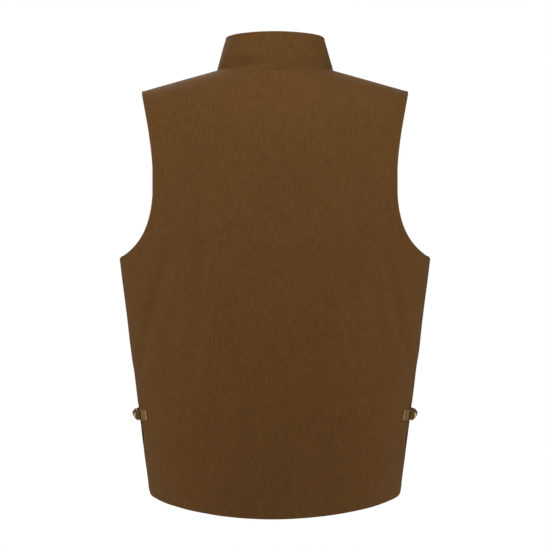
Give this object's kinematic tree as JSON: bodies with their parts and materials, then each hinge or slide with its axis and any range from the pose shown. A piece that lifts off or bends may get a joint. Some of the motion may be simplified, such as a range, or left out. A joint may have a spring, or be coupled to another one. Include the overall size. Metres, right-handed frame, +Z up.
{
  "type": "fishing vest",
  "caption": "Sleeveless fishing vest with a stand collar, full zip, four flapped front pockets, a chest ring and buckled side adjusters.",
  "frame": {"origin": "middle of the wearer's neck base, level with the shoulder seams where they meet the collar", "axes": "+Z up along the wearer's body, the front faces -Y, +X towards the wearer's left"},
  "size_m": [0.4878, 0.2588, 0.7395],
  "materials": {
    "shell_cloth": "matt peached weave, brown",
    "lining_cloth": "plain matt lining, dark brown",
    "zip_tape": "herringbone tape, dark brown",
    "zip_teeth": "moulded, satin",
    "tan_webbing": "ribbed webbing, tan",
    "dark_webbing": "ribbed webbing, dark brown",
    "antique_brass": "antique, brushed with dark recesses"
  },
  "bodies": {
    "vest": {"back_panel": "shell_cloth", "left_front_panel": "shell_cloth", "right_front_panel": "shell_cloth", "back_lining": "lining_cloth", "left_front_lining": "lining_cloth", "right_front_lining": "lining_cloth", "left_armhole_facing": "shell_cloth", "right_armhole_facing": "shell_cloth", "left_side_vent_facing": "shell_cloth", "right_side_vent_facing": "shell_cloth", "collar_outer": "shell_cloth", "collar_facing": "lining_cloth", "hanger_loop": "dark_webbing", "left_zip_tape": "zip_tape", "right_zip_tape": "zip_tape", "left_zip_chain": "zip_teeth", "right_zip_chain": "zip_teeth", "zip_box": "antique_brass", "zip_pin": "antique_brass", "left_chest_pocket": "shell_cloth", "left_chest_pocket_snap_stud": "antique_brass", "left_lower_pocket": "shell_cloth", "left_lower_pocket_snap_stud": "antique_brass", "left_adjuster_tab": "tan_webbing", "left_buckle": "antique_brass", "left_adjuster_strap": "dark_webbing", "right_chest_pocket": "shell_cloth", "right_chest_pocket_snap_stud": "antique_brass", "right_lower_pocket": "shell_cloth", "right_lower_pocket_snap_stud": "antique_brass", "right_adjuster_tab": "tan_webbing", "right_buckle": "antique_brass", "right_adjuster_strap": "dark_webbing", "chest_ring_tab": "dark_webbing"},
    "zip_slider": {"zip_slider": "antique_brass", "zip_slider_back": "antique_brass"},
    "zip_pull": {"zip_pull": "antique_brass"},
    "chest_ring": {"chest_ring": "antique_brass"},
    "left_chest_pocket_flap": {"left_chest_pocket_flap": "shell_cloth", "left_chest_pocket_snap_cap": "antique_brass"},
    "left_lower_pocket_flap": {"left_lower_pocket_flap": "shell_cloth", "left_lower_pocket_snap_cap": "antique_brass"},
    "right_chest_pocket_flap": {"right_chest_pocket_flap": "shell_cloth", "right_chest_pocket_snap_cap": "antique_brass"},
    "right_lower_pocket_flap": {"right_lower_pocket_flap": "shell_cloth", "right_lower_pocket_snap_cap": "antique_brass"}
  },
  "joints": [
    {"name": "zip_slide", "type": "slide", "parent": "vest", "child": "zip_slider", "axis": [0, -0.0662, -0.9978], "range_m": [0, 0.63]},
    {"name": "zip_pull_swing", "type": "hinge", "parent": "zip_slider", "child": "zip_pull", "pos_m": [0, -0.08767, -0.00519], "axis": [-1, 0, 0], "range_deg": [0, 120]},
    {"name": "left_chest_pocket_flap_hinge", "type": "hinge", "parent": "vest", "child": "left_chest_pocket_flap", "pos_m": [0.11058, -0.09264, -0.208], "axis": [-0.9824, -0.1869, 0], "range_deg": [0, 110]},
    {"name": "left_lower_pocket_flap_hinge", "type": "hinge", "parent": "vest", "child": "left_lower_pocket_flap", "pos_m": [0.10462, -0.10478, -0.414], "axis": [-0.9708, -0.2401, 0], "range_deg": [0, 110]},
    {"name": "right_chest_pocket_flap_hinge", "type": "hinge", "parent": "vest", "child": "right_chest_pocket_flap", "pos_m": [-0.11058, -0.09264, -0.208], "axis": [-0.9824, 0.1869, 0], "range_deg": [0, 110]},
    {"name": "right_lower_pocket_flap_hinge", "type": "hinge", "parent": "vest", "child": "right_lower_pocket_flap", "pos_m": [-0.10462, -0.10478, -0.414], "axis": [-0.9708, 0.2401, 0], "range_deg": [0, 110]},
    {"name": "chest_ring_swing", "type": "hinge", "parent": "vest", "child": "chest_ring", "pos_m": [0.11869, -0.08925, -0.146], "axis": [-0.9858, -0.1679, 0], "range_deg": [0, 110]}
  ]
}
